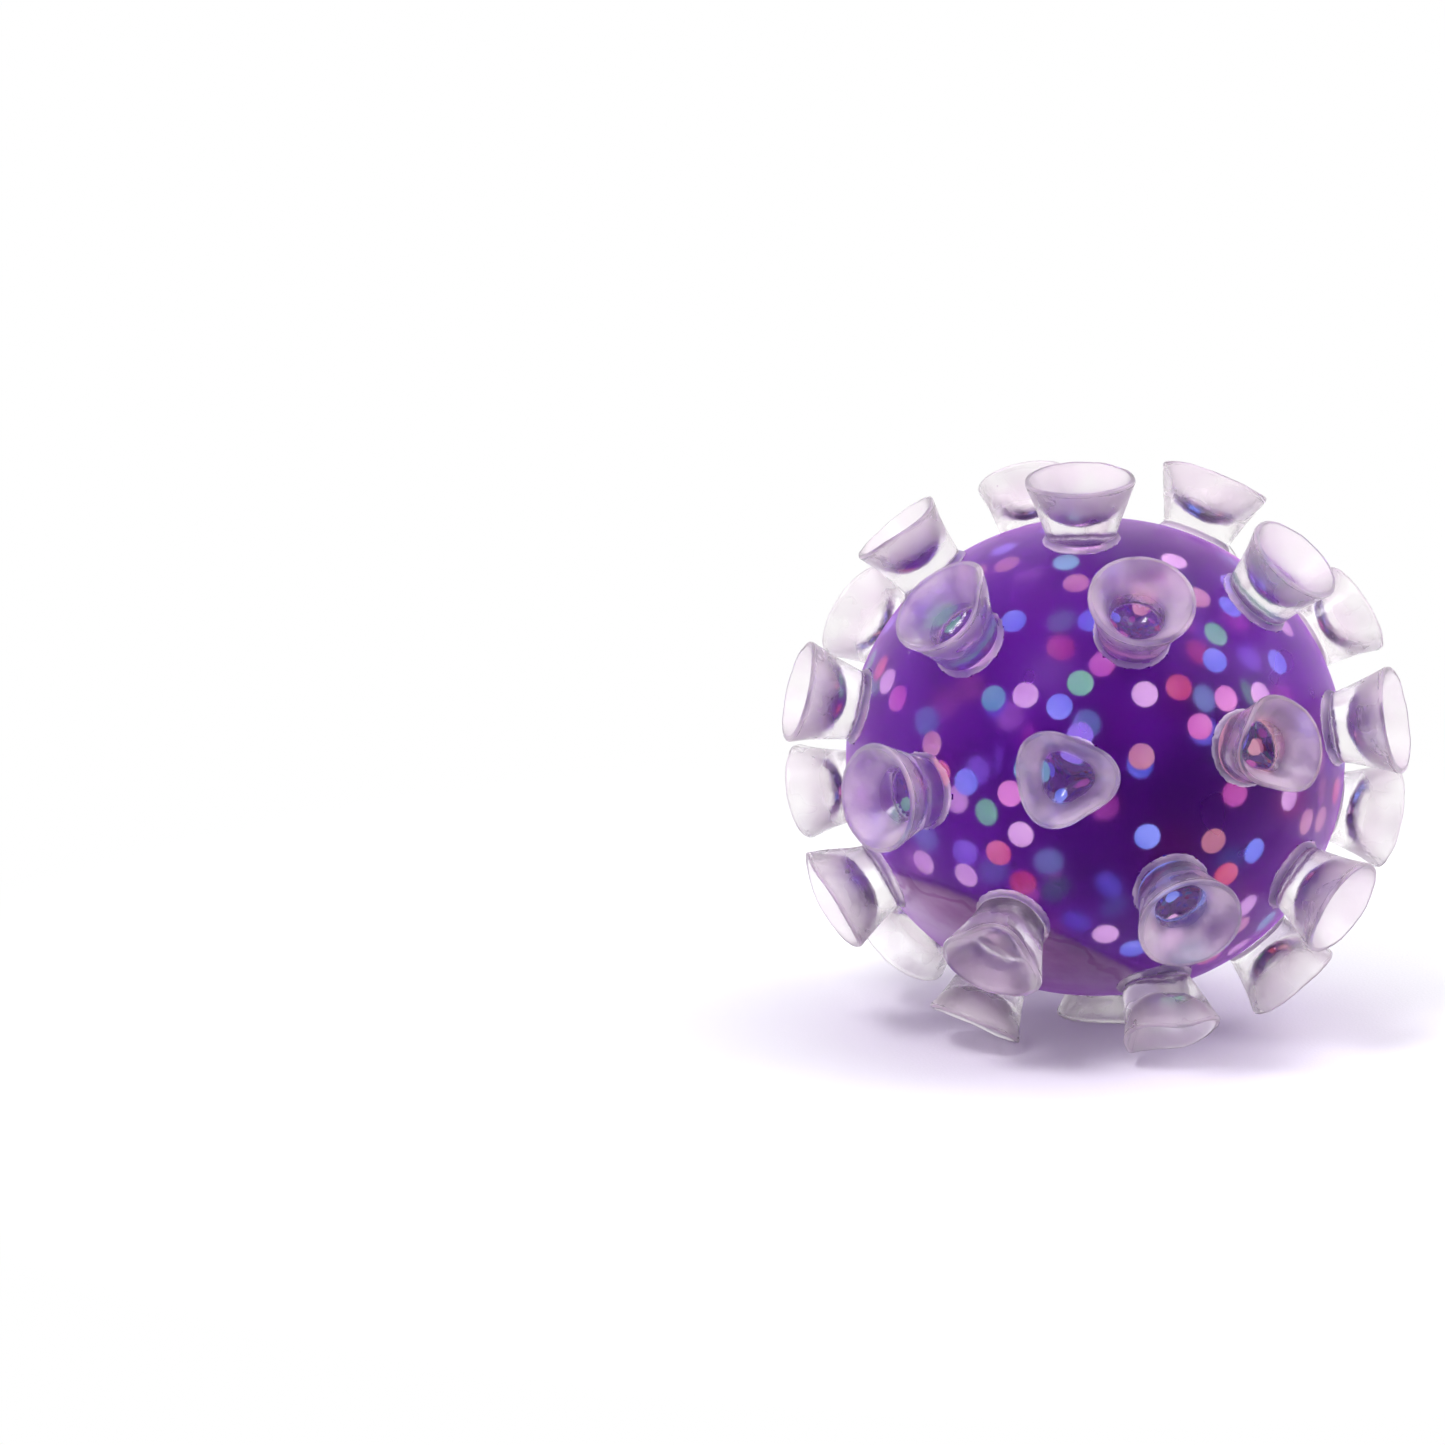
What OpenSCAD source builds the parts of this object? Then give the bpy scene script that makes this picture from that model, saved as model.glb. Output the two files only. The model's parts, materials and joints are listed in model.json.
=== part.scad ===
// Suction-cup squeeze ball: a clear soft shell round a set, tinted gel that holds round confetti,
// with soft suction cups bonded all over the outside.
// Millimetres, +Z up. The ball stands on its three lowest cups, and the floor is at z = 0.

/* [Ball] */
// Width of the ball across its middle, without the cups
ball_w = 60; // [52:1:74]
// How much lower than wide the soft ball stands
sag = 3; // [1:0.2:6]
// Thickness of the clear shell
wall = 1.6; // [1:0.1:2.4]

/* [Filling] */
// Width of the filling hole, which lies under the foot of one cup
hole_w = 5; // [3:0.2:6]
// How far the plug's inner head reaches past the hole
plug_lip = 1.5; // [0.8:0.1:2.5]
// Thickness of the plug's inner head
plug_head = 1.2; // [0.8:0.1:2]
// Depth of the air left between the filling hole and the set gel
air_depth = 5.5; // [4:0.5:9]

/* [Confetti] */
// Width of a confetti dot
dot_w = 3; // [2:0.1:3.6]
// Thickness of a confetti dot
dot_t = 0.15; // [0.1:0.01:0.25]
// Depth of the outermost dots in the gel
dot_skin = 0.7; // [0.6:0.1:1.5]
// How much deeper than those the innermost dots lie
dot_reach = 12; // [4:1:14]
// Dots that are dropped in, of which any that would touch another is left out
dots_tried = 380; // [60:10:420]
// Seed of the scatter
dot_seed = 66; // [1:1:99]

/* [Suction cups] */
// Width over the rim of a cup
rim_w = 12.6; // [11.6:0.2:14.4]
// Width of the flat lip round the mouth
lip_w = 0.8; // [0.5:0.1:1.2]
// Depth of the straight band under the lip
lip_d = 0.8; // [0.4:0.1:1.2]
// Height of a cup that nothing presses, from the shell to its lip
cup_h = 7.6; // [7.4:0.1:10]
// Width of the neck
neck_w = 9.2; // [8:0.1:10]
// Length of the straight stretch of the neck
neck_l = 0.6; // [0.3:0.1:0.9]
// Width of the eye at the bottom of the hollow
eye_w = 6; // [4:0.2:6.6]
// Depth of the eye
eye_d = 0.5; // [0.2:0.1:0.7]
// Width of the foot that is bonded to the shell
foot_w = 9.8; // [9:0.2:12]
// Thickness of the foot
foot_t = 0.8; // [0.5:0.1:1.1]

/* [Bending neck] */
// Furthest that a neck bends from straight, in degrees
bend = 15; // [5:1:18]
// Wall of the neck at the mouth of its socket
skirt = 1.7; // [1:0.05:2]
// Room between the round knuckle on the foot and the socket in the neck
play = 0.15; // [0.1:0.05:0.25]
// Web between the socket and the eye
web = 0.6; // [0.4:0.1:0.8]
// A cup that points this near to straight down bends until its lip lies flat, in degrees
settle = 14; // [5:1:15]

/* [Resting pose] */
// Turn of the cup pattern about X, in degrees
roll = 12; // [-180:1:180]
// Turn of the cup pattern about Y, in degrees
pitch = 20; // [-180:1:180]
// Turn of the cup pattern about Z, in degrees
yaw = -12; // [-180:1:180]

/* [Hidden] */
$fn = 72;

// Side view of the ball: a circle drawn apart by a flat stretch across the top and bottom
side_x = sag / 2;
side_r = ball_w / 2 - side_x;

neck_r = neck_w / 2;
rim_r = rim_w / 2;
eye_r = eye_w / 2;
foot_r = foot_w / 2;

// The neck starts so far out that its edge stays clear of the foot when it is bent
neck_z = (foot_t + play + neck_r * sin(bend)) / cos(bend);
flare_z = neck_z + neck_l;
socket_r = norm([neck_r - skirt, neck_z]);
knuckle_r = socket_r - play;
eye_z = socket_r + web;

// Directions of the cups: the corners of an icosahedron, then the middles of its faces
golden = (1 + sqrt(5)) / 2;
corners = [
    for (s = [1, -1], t = [1, -1])
        each [[0, s, t * golden], [s, t * golden, 0], [t * golden, 0, s]]
];
edge = 2;
slack = 0.01;
faces = [
    for (i = [0 : len(corners) - 1], j = [i + 1 : 1 : len(corners) - 1], k = [j + 1 : 1 : len(corners) - 1])
        if (is_edge(i, j) && is_edge(j, k) && is_edge(i, k)) corners[i] + corners[j] + corners[k]
];
normals = [for (d = concat(corners, faces)) turned(d / norm(d))];
cup_count = len(normals);

// The bottom cup bends until it stands flat, and the other cups stand square to the shell
down = [0, 0, -1];
axes = [for (n = normals) n * down > cos(settle) ? down : n];

// The ball sinks until three cups carry it, or until the lowest is pressed as short as it goes.
// Every cup that reaches past the floor is pressed shorter.
lows = [for (i = [0 : cup_count - 1]) rim_low(i)];
carriers = 3;
most_press = cup_h - eye_z - eye_d - lip_d;
floor_z = min(ranked(lows, carriers), min(lows) + most_press);
heights = [for (i = [0 : cup_count - 1]) cup_h - max(0, floor_z - lows[i]) / max(-axes[i].z, slack)];

// The ball is filled through a hole under one of the cups that it stands on
plug_cup = 10;
plug_axis = normals[plug_cup - 1];
air_from = plug_axis * shell_point(plug_axis, -wall) - air_depth;

// Confetti: most dots lie just under the shell, and the rest are strewn deeper
dot_colours = ["pink", "rose", "red", "salmon", "blue", "violet", "teal", "green"];
dot_paints = ["#f6c8dc", "#c9298f", "#cf2740", "#ee8f86", "#5b86d8", "#8f7fd6", "#2f9aa6", "#3f9b4f"];
shallow_share = 0.6;
shallow_band = 0.4;
flat_tilt = 7;
tilt_per_depth = 6;
most_tilt = 55;
dot_gap = 0.2;
dot_z = rands(-1, 1, dots_tried, dot_seed);
dot_turn = rands(0, 360, dots_tried, dot_seed + 1);
dot_luck = rands(0, 1, dots_tried, dot_seed + 2);
dot_tip = rands(-1, 1, dots_tried, dot_seed + 3);
dots = scattered([for (i = [0 : dots_tried - 1]) if (in_gel(dot_place(i))) i], [], 0);

function is_edge(i, j) = abs(norm(corners[i] - corners[j]) - edge) < slack;

function about_x(p, a) = [p.x, p.y * cos(a) - p.z * sin(a), p.y * sin(a) + p.z * cos(a)];

function about_y(p, a) = [p.z * sin(a) + p.x * cos(a), p.y, p.z * cos(a) - p.x * sin(a)];

function about_z(p, a) = [p.x * cos(a) - p.y * sin(a), p.x * sin(a) + p.y * cos(a), p.z];

function turned(p) = about_z(about_y(about_x(p, roll), pitch), yaw);

// Point of the ball's surface, grown by so much, that faces along n
function shell_point(n, grow) = let (flat = norm([n.x, n.y]))
    n * (side_r + grow) + (flat > 0 ? side_x * [n.x, n.y, 0] / flat : [0, 0, 0]);

function rim_low(i) =
    shell_point(normals[i], 0).z + cup_h * axes[i].z - rim_r * norm([axes[i].x, axes[i].y]);

// The value of a list that is so many from its least
function ranked(list, rank) = min([for (v = list) if (len([for (w = list) if (w <= v) w]) >= rank) v]);

function cup_name(i) = str("cup_", i < 10 ? "0" : "", i);

function dot_normal(i) = let (flat = sqrt(1 - dot_z[i] ^ 2))
    [flat * cos(dot_turn[i]), flat * sin(dot_turn[i]), dot_z[i]];

function dot_depth(i) = let (past = (dot_luck[i] - shallow_share) / (1 - shallow_share))
    past > 0 ? shallow_band + past * (dot_reach - shallow_band) : shallow_band * dot_luck[i] / shallow_share;

function dot_tilt(i) = dot_tip[i] * min(most_tilt, flat_tilt + tilt_per_depth * dot_depth(i));

function dot_place(i) = shell_point(dot_normal(i), -wall - dot_skin - dot_depth(i));

function in_gel(p) = p * plug_axis < air_from - dot_w / 2 - dot_gap;

function apart(p, kept) = len([for (k = kept) if (norm(p - dot_place(k)) < dot_w + dot_gap) k]) == 0;

function scattered(pool, kept, at) = at == len(pool) ? kept
    : scattered(pool, apart(dot_place(pool[at]), kept) ? concat(kept, [pool[at]]) : kept, at + 1);

// Lifts the ball so that its lowest cups stand on the floor
module lifted() {
    translate([0, 0, -floor_z]) children();
}

// Turns what is drawn along +Z to point along n
module aimed(n) {
    rotate([0, acos(n.z), atan2(n.y, n.x)]) children();
}

// The ball's solid, grown by so much all round
module ball(grow) {
    r = side_r + grow;
    rotate_extrude() {
        intersection() {
            translate([side_x, 0]) circle(r);
            translate([side_x, -r]) square([r, 2 * r]);
        }
        translate([0, -r]) square([side_x, 2 * r]);
    }
}

module shell() {
    color("lavender", 0.4) lifted() difference() {
        ball(0);
        ball(-wall);
        aimed(plug_axis) cylinder(d = hole_w, h = ball_w);
    }
}

module filler_plug() {
    color("thistle") lifted() difference() {
        union() {
            intersection() {
                ball(0);
                aimed(plug_axis) cylinder(d = hole_w, h = ball_w);
            }
            intersection() {
                ball(-wall);
                aimed(plug_axis) cylinder(r = hole_w / 2 + plug_lip, h = ball_w);
            }
        }
        ball(-wall - plug_head);
    }
}

module dot(i) {
    translate(dot_place(i)) aimed(dot_normal(i)) rotate([dot_tilt(i), 0, 0])
        cylinder(d = dot_w, h = dot_t, center = true);
}

module gel_fill() {
    color("indigo", 0.8) lifted() difference() {
        ball(-wall);
        aimed(plug_axis) translate([0, 0, air_from]) cylinder(d = ball_w, h = ball_w);
        for (i = dots) dot(i);
    }
}

module confetti(colour) {
    color(dot_paints[colour]) lifted()
        for (k = [colour : len(dot_colours) : len(dots) - 1]) dot(dots[k]);
}

// Foot of a cup: a thin flange that follows the shell, with the round knuckle that the neck bends on
module foot(n) {
    difference() {
        union() {
            intersection() {
                ball(foot_t);
                aimed(n) cylinder(r = foot_r, h = ball_w);
            }
            translate(shell_point(n, 0)) sphere(knuckle_r);
        }
        ball(0);
    }
}

module cup_feet() {
    color("mistyrose", 0.6) lifted() for (n = normals) foot(n);
}

// Half section of a cup of height h: straight neck, flare, band under the lip, and the hollow
module cup_section(h) {
    difference() {
        polygon([[0, neck_z], [neck_r, neck_z], [neck_r, flare_z], [rim_r, h - lip_d], [rim_r, h], [0, h]]);
        polygon([[0, eye_z], [eye_r, eye_z], [eye_r, eye_z + eye_d], [rim_r - lip_w, h], [0, h]]);
    }
}

module suction_cup(i) {
    color("mistyrose", 0.6) lifted() translate(shell_point(normals[i - 1], 0)) aimed(axes[i - 1]) difference() {
        rotate_extrude() cup_section(heights[i - 1]);
        sphere(socket_r);
    }
}

shell();
filler_plug();
gel_fill();
cup_feet();
for (c = [0 : len(dot_colours) - 1])
    confetti(c);
for (i = [1 : cup_count])
    suction_cup(i);
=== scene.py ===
"""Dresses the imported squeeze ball: clear shell, tinted gel, confetti and soft suction cups."""
import json
import math
import random
from collections import namedtuple

import bmesh
import bpy
from bpy.props import FloatProperty, FloatVectorProperty, IntProperty, IntVectorProperty, PointerProperty
from mathutils import Matrix, Vector


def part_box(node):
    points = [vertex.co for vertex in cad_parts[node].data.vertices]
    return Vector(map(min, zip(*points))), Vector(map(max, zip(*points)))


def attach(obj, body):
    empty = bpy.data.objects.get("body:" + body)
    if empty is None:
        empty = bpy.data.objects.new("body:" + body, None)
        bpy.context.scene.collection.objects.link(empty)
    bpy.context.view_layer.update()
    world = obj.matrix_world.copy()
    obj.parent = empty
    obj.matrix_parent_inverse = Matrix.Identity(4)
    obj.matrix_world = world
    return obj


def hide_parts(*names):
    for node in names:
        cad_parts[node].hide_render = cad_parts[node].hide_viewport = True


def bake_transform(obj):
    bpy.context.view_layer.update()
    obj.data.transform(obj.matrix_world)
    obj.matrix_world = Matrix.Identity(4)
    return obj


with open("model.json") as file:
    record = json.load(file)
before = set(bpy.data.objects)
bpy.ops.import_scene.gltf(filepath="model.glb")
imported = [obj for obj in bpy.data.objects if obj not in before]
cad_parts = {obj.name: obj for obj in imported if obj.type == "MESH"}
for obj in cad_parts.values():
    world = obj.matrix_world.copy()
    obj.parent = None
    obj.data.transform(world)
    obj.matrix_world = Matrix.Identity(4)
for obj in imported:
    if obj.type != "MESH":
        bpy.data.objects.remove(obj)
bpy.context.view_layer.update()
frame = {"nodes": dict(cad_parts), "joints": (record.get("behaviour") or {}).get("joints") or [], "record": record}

bl_info = {
    "name": "Suction-cup squeeze ball",
    "version": (1, 0, 0),
    "blender": (4, 5, 0),
    "location": "View3D > Sidebar > Squeeze ball",
    "description": "Clear ball of tinted gel and confetti, covered with soft suction cups",
    "category": "Object",
}

MM = 0.001
NODES = frame["nodes"]
NECKS = {joint["child"]: joint for joint in frame["joints"]}
LIPS = {mount["name"]: mount for mount in frame["record"]["mounts"]}
PAINTS = {material["slot"]: material["base_color"][:3] for material in frame["record"]["materials"]}
CUP_NAMES = sorted(NECKS)
CONFETTI = sorted(name for name in NODES if name.startswith("confetti_"))

# Side view of the ball: a circle drawn apart by a flat stretch across the top and bottom
SHELL_LOW, SHELL_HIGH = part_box("shell")
BALL_MIDDLE = (SHELL_LOW + SHELL_HIGH) / 2
HALF_WIDTH = (SHELL_HIGH.x - SHELL_LOW.x) / 2
SIDE_R = (SHELL_HIGH.z - SHELL_LOW.z) / 2
SIDE_X = HALF_WIDTH - SIDE_R
GEL_LOW, GEL_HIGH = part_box("gel_fill")
WALL = SHELL_HIGH.x - GEL_HIGH.x


def neck_pivot(cup):
    """Where a cup's neck bends, on the shell"""
    return Vector(NECKS[cup]["pos_m"])


def lip_axis(cup):
    """The way that a cup's mouth faces"""
    return Vector(LIPS[cup + "_lip"]["axis"]).normalized()


def lip_height(cup):
    """How far a cup's lip stands off its pivot"""
    return (Vector(LIPS[cup + "_lip"]["pos_m"]) - neck_pivot(cup)).dot(lip_axis(cup))


def shell_normal(point):
    """The way that the shell faces at a point of its surface"""
    arm = point - BALL_MIDDLE
    flat = Vector((arm.x, arm.y, 0))
    return (arm - SIDE_X * flat.normalized()).normalized()


def furthest(node, origin, axis):
    """How far a CAD node reaches along an axis"""
    return max((vertex.co - origin).dot(axis) for vertex in NODES[node].data.vertices)


def widest(cup):
    """Half the width of a cup's rim, from its CAD node"""
    axis = lip_axis(cup)
    arms = [vertex.co - neck_pivot(cup) for vertex in NODES[cup].data.vertices]
    return max((arm - axis * arm.dot(axis)).length for arm in arms)


# The ball is filled through a hole under one cup, and the gel has set with a flat face below it
PLUG_MIDDLE = sum(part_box("filler_plug"), Vector()) / 2
PLUG_CUP = min(CUP_NAMES, key=lambda cup: (neck_pivot(cup) - PLUG_MIDDLE).length)
PLUG_AXIS = lip_axis(PLUG_CUP)
GEL_LEVEL = furthest("gel_fill", BALL_MIDDLE, PLUG_AXIS)
RIM_R = widest(PLUG_CUP)


def a_length(name, description, default):
    """A property for a length"""
    return FloatProperty(name=name, description=description, default=default, unit="LENGTH")


def a_colour(name, description, default):
    """A property for a colour"""
    return FloatVectorProperty(
        name=name, description=description, subtype="COLOR", default=default, min=0, max=1)


def a_share(name, description, default):
    """A property for a share of light"""
    return FloatProperty(name=name, description=description, default=default, min=0, max=1)


def an_index(name, description):
    """A property for how much soft clear rubber or gel bends light"""
    return FloatProperty(name=name, description=description, default=1.42, min=1)


class BallSettings(bpy.types.PropertyGroup):
    """Clear shell and the gel in it"""

    steps: IntProperty(name="Steps", description="Rings of the ball from pole to pole", default=128, min=16)
    around: IntProperty(name="Around", description="Faces round the ball", default=256, min=32)
    seat: a_length("Seat", "How far the gel is drawn into the wall that it wets", 0.04 * MM)
    hole: a_length("Hole", "Width of the filling hole", 5 * MM)
    bond_in: a_length("Bond inset", "How far inside a foot's edge the bond ends", 0.2 * MM)
    bend: an_index("Refraction", "Refractive index of shell and gel")
    tint: a_colour("Gel tint", "Colour that the gel lets through", (0.42, 0.04, 0.60))
    depth: FloatProperty(
        name="Gel depth", description="Absorption of the gel per metre", default=105, min=0)
    veil: a_colour("Veil", "Colour of the cloudiness in the gel", (0.32, 0.02, 0.86))
    cloud: a_share("Cloudiness", "Share of light that the gel turns back", 0.18)
    gloss: a_colour("Gloss", "Colour of the shell's reflections", (0.12, 0.06, 0.16))
    sheen: a_colour("Sheen", "Colour of the soft sheen on the shell's skin", (0.62, 0.08, 1.0))


class CupSettings(bpy.types.PropertyGroup):
    """Soft suction cups and the feet that hold them on the shell"""

    around: IntProperty(name="Around", description="Faces round a cup", default=96, min=24)
    rim_r: a_length("Rim radius", "Radius over the rim", RIM_R)
    lip_w: a_length("Lip width", "Width of the flat lip", 0.55 * MM)
    lip_d: a_length("Lip depth", "Band under the lip", 0.4 * MM)
    neck_r: a_length("Neck radius", "Radius of the neck", 4.2 * MM)
    neck_z: a_length("Neck height", "Where the flare starts", 0.5 * MM)
    bell_from: a_length("Bell from", "Height from which the soft rim pulls the cup out of round", -1.0 * MM)
    waist: a_length("Waist", "Hollowness of the flare", 0.12 * MM)
    bowl: FloatProperty(
        name="Bowl", description="Power of the hollow's curve: 1 is a cone and 2 a round bowl",
        default=1.9, min=1)
    eye_z: a_length("Eye height", "Bottom of the hollow", 2.2 * MM)
    foot_r: a_length("Foot radius", "Radius of the foot", 4.6 * MM)
    foot_t: a_length("Foot thickness", "Thickness of the foot", 0.24 * MM)
    sink: a_length("Sink", "How far the foot is bonded into the shell", 0.06 * MM)
    uneven: a_length("Unevenness", "Ripple of the moulded rim", 0.12 * MM)
    tip_lift: a_length("Tip lift", "How far a full tip stands over the lip", -4 * MM)
    bond: a_length("Bond line", "Unevenness of the glue round the foot", 0.3 * MM)
    bend: an_index("Refraction", "Refractive index of the rubber")
    clear: a_colour("Clear tint", "Colour that the rubber lets through", (0.995, 0.985, 0.975))
    milk: a_colour("Milk", "Colour of the rubber's milkiness", (0.98, 0.78, 0.97))
    milkiness: a_share("Milkiness", "Share of light that the rubber turns back", 0.20)
    bend_from: a_length("Bend from", "Height at which the neck starts to bend", 0.4 * MM)
    bend_to: a_length("Bend to", "Height at which the neck stops bending", 3.6 * MM)


class ConfettiSettings(bpy.types.PropertyGroup):
    """Colours of the foil dots, and the painted light with which they glow"""

    # Painted light: the dots shine by their own emission, in place of the lamp light that the clear shell and gel
    # keep from them
    painted_glow: FloatProperty(
        name="Glow", description="How much the day-glow colours light up", default=0.48, min=0)
    pink: a_colour("Pink", "Colour of the pink dots", (1.0, 0.58, 0.90))
    rose: a_colour("Rose", "Colour of the rose dots", (0.80, 0.12, 0.52))
    red: a_colour("Red", "Colour of the red dots", (0.86, 0.05, 0.08))
    salmon: a_colour("Salmon", "Colour of the salmon dots", (0.66, 0.24, 0.28))
    blue: a_colour("Blue", "Colour of the blue dots", (0.07, 0.23, 1.0))
    violet: a_colour("Violet", "Colour of the violet dots", (0.26, 0.20, 0.95))
    teal: a_colour("Teal", "Colour of the teal dots", (0.05, 0.52, 0.56))
    green: a_colour("Green", "Colour of the green dots", (0.04, 0.66, 0.15))


class StageSettings(bpy.types.PropertyGroup):
    """Camera, floor and light"""

    picture: IntProperty(name="Picture", description="Width of the picture in pixels", default=1445)
    middle: IntVectorProperty(
        name="Middle", description="Pixel at which the ball's middle shows", size=2, default=(1095, 756))
    half: FloatProperty(
        name="Half width", description="Pixels from the ball's middle to its side", default=249)
    distance: a_length("Distance", "Camera to ball", 0.83)
    height: FloatProperty(
        name="Height", description="Angle of the camera above the floor",
        default=math.radians(12), subtype="ANGLE")
    sensor: FloatProperty(name="Sensor", description="Width of the camera's sensor in mm", default=36)
    floor: a_colour("Floor", "Colour of the cloth that the ball lies on", (0.89, 0.885, 0.92))
    front_light: a_share("Front light", "Light of the studio on the camera's side", 0.34)


class SqueezeBallSettings(bpy.types.PropertyGroup):
    """Everything that can be changed"""

    ball: PointerProperty(type=BallSettings)
    confetti: PointerProperty(type=ConfettiSettings)
    cups: PointerProperty(type=CupSettings)
    stage: PointerProperty(type=StageSettings)


class Wire:
    """A socket on which Python's arithmetic adds Math nodes"""

    def __init__(self, sheet, socket):
        self.sheet = sheet
        self.socket = socket

    def __add__(self, other):
        return self.sheet.maths("ADD", self, other)

    def __radd__(self, other):
        return self.sheet.maths("ADD", other, self)

    def __sub__(self, other):
        return self.sheet.maths("SUBTRACT", self, other)

    def __rsub__(self, other):
        return self.sheet.maths("SUBTRACT", other, self)

    def __mul__(self, other):
        return self.sheet.maths("MULTIPLY", self, other)

    def __rmul__(self, other):
        return self.sheet.maths("MULTIPLY", other, self)

    def __truediv__(self, other):
        return self.sheet.maths("DIVIDE", self, other)

    def __mod__(self, other):
        return self.sheet.maths("MODULO", self, other)


class Sheet:
    """A node tree that is filled by one method"""

    def __init__(self, tree):
        self.tree = tree

    def node(self, kind, settings=None, out=0, **sockets):
        """Adds a node and gives back one of its outputs.

        Its settings come first. Base_Color stands for the socket Base Color, and i0 for the first socket.
        """
        made = self.tree.nodes.new(kind)
        for name, value in (settings or {}).items():
            setattr(made, name, value)
        for name, value in sockets.items():
            key = int(name[1:]) if name[0] == "i" and name[1:].isdigit() else name.replace("_", " ")
            self.feed(made.inputs[key], value)
        return Wire(self, made.outputs[out]) if len(made.outputs) else made

    def feed(self, socket, value):
        """Links a wire to a socket, or sets the socket to a value"""
        if isinstance(value, Wire):
            self.tree.links.new(value.socket, socket)
        else:
            socket.default_value = value

    def maths(self, operation, a, b=0.0):
        """One Math node"""
        return self.node("ShaderNodeMath", {"operation": operation}, i0=a, i1=b)

    def parts(self, vector):
        """The three numbers of a vector"""
        made = self.node("ShaderNodeSeparateXYZ", Vector=vector).socket.node
        return [Wire(self, made.outputs[name]) for name in "XYZ"]

    def ease(self, value, low, high):
        """0 up to low, 1 from high, and a smooth rise between them"""
        settings = {"interpolation_type": "SMOOTHSTEP"}
        return self.node("ShaderNodeMapRange", settings, Value=value, From_Min=low, From_Max=high)


def new_material(name):
    """An empty material, its sheet and its output node"""
    material = bpy.data.materials.new(name)
    material.use_nodes = True
    material.node_tree.nodes.clear()
    sheet = Sheet(material.node_tree)
    output = material.node_tree.nodes.new("ShaderNodeOutputMaterial")
    return material, sheet, output


def object_place(sheet, stretch=(1, 1, 1), start=(0, 0, 0)):
    """Object coordinates, drawn apart along each axis and moved"""
    place = sheet.node("ShaderNodeTexCoord", out=3)
    return sheet.node("ShaderNodeMapping", Vector=place, Scale=stretch, Location=start)


def noise(sheet, place, grains, detail=2.0):
    """Soft noise from 0 to 1, with so many grains to a metre"""
    return sheet.node("ShaderNodeTexNoise", Vector=place, Scale=grains, Detail=detail)


def mixed(sheet, share, start, end):
    """A colour between two others, each a wire or three numbers"""
    ends = [colour if isinstance(colour, Wire) else (*colour, 1) for colour in (start, end)]
    return sheet.node("ShaderNodeMix", {"data_type": "RGBA"}, out=2, i0=share, i6=ends[0], i7=ends[1])


def along_plug(sheet, place):
    """How far a place lies from the ball's middle towards the filling plug"""
    arm = sheet.node("ShaderNodeVectorMath", {"operation": "SUBTRACT"}, i0=place, i1=BALL_MIDDLE)
    return sheet.node("ShaderNodeVectorMath", {"operation": "DOT_PRODUCT"}, out=1, i0=arm, i1=PLUG_AXIS)


# Refractive index of a face between two clear materials that are bonded or wetted
UNSEEN = 1.0

# Film that the gel leaves on the wall of the air pocket, in its thick and its thin places
WET_FILM = ((0.93, 0.86, 0.96), (0.98, 0.93, 0.99))
DRY_FILM = ((0.30, 0.08, 0.26), (0.66, 0.40, 0.62))
OUTER_STAIN = ((0.50, 0.28, 0.48), (0.86, 0.75, 0.86))
FILM_MARK = GEL_LEVEL + 1.6 * MM
MARK_WAVE = 5 * MM
MARK_EDGE = (0.1 * MM, 0.4 * MM)
DRAIN = 1.5 * MM


def film_tint(sheet, place, thick, thin):
    """Colour of the film, in streaks along the gel's level, up to a wavy mark"""
    along = along_plug(sheet, place)
    stretch = 2.0
    apart = sheet.node("ShaderNodeVectorMath", {"operation": "SCALE"}, i0=PLUG_AXIS, Scale=stretch * along)
    drawn = sheet.node("ShaderNodeVectorMath", {"operation": "ADD"}, i0=place, i1=apart)
    streaks = sheet.ease(noise(sheet, drawn, 130, 3), 0.36, 0.6)
    past_mark = along - FILM_MARK - MARK_WAVE * (noise(sheet, place, 170) - 0.5)
    mark = 1 - sheet.ease(sheet.maths("ABSOLUTE", past_mark), *MARK_EDGE)
    drained = sheet.ease(past_mark, -DRAIN, 0.0)
    bare = (0.3 + 0.7 * streaks) * (0.6 + 0.4 * drained) * (1 - mark)
    return mixed(sheet, bare, thick, thin)


def inner_wall_material(name, bend, film):
    """Inner wall of the shell with a film of gel on it; where the gel wets it, light isn't bent"""
    material, sheet, output = new_material(name)
    tint = film_tint(sheet, object_place(sheet), *film)
    skin = sheet.node(
        "ShaderNodeBsdfPrincipled", Base_Color=tint, Roughness=0.0, Transmission_Weight=1.0, IOR=bend)
    sheet.feed(output.inputs["Surface"], skin)
    return material


def bond_material(name):
    """Bond between a foot and the shell, which light goes through as if it weren't there"""
    material, sheet, output = new_material(name)
    tint = mixed(sheet, noise(sheet, object_place(sheet), 900), (0.90, 0.86, 0.92), (1, 0.98, 1))
    skin = sheet.node(
        "ShaderNodeBsdfPrincipled", Base_Color=tint, Roughness=0.0, Transmission_Weight=1.0, IOR=UNSEEN)
    sheet.feed(output.inputs["Surface"], skin)
    return material


def specks(sheet, place, grains, share, size):
    """1 on a few round specks of dust or air, and 0 between them"""
    cells = sheet.node("ShaderNodeTexVoronoi", Vector=place, Scale=grains).socket.node.outputs
    chance = sheet.parts(Wire(sheet, cells["Color"]))[0]
    spot = 1 - sheet.ease(Wire(sheet, cells["Distance"]), 0.6 * size, size)
    return spot * sheet.maths("LESS_THAN", chance, share)


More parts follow.
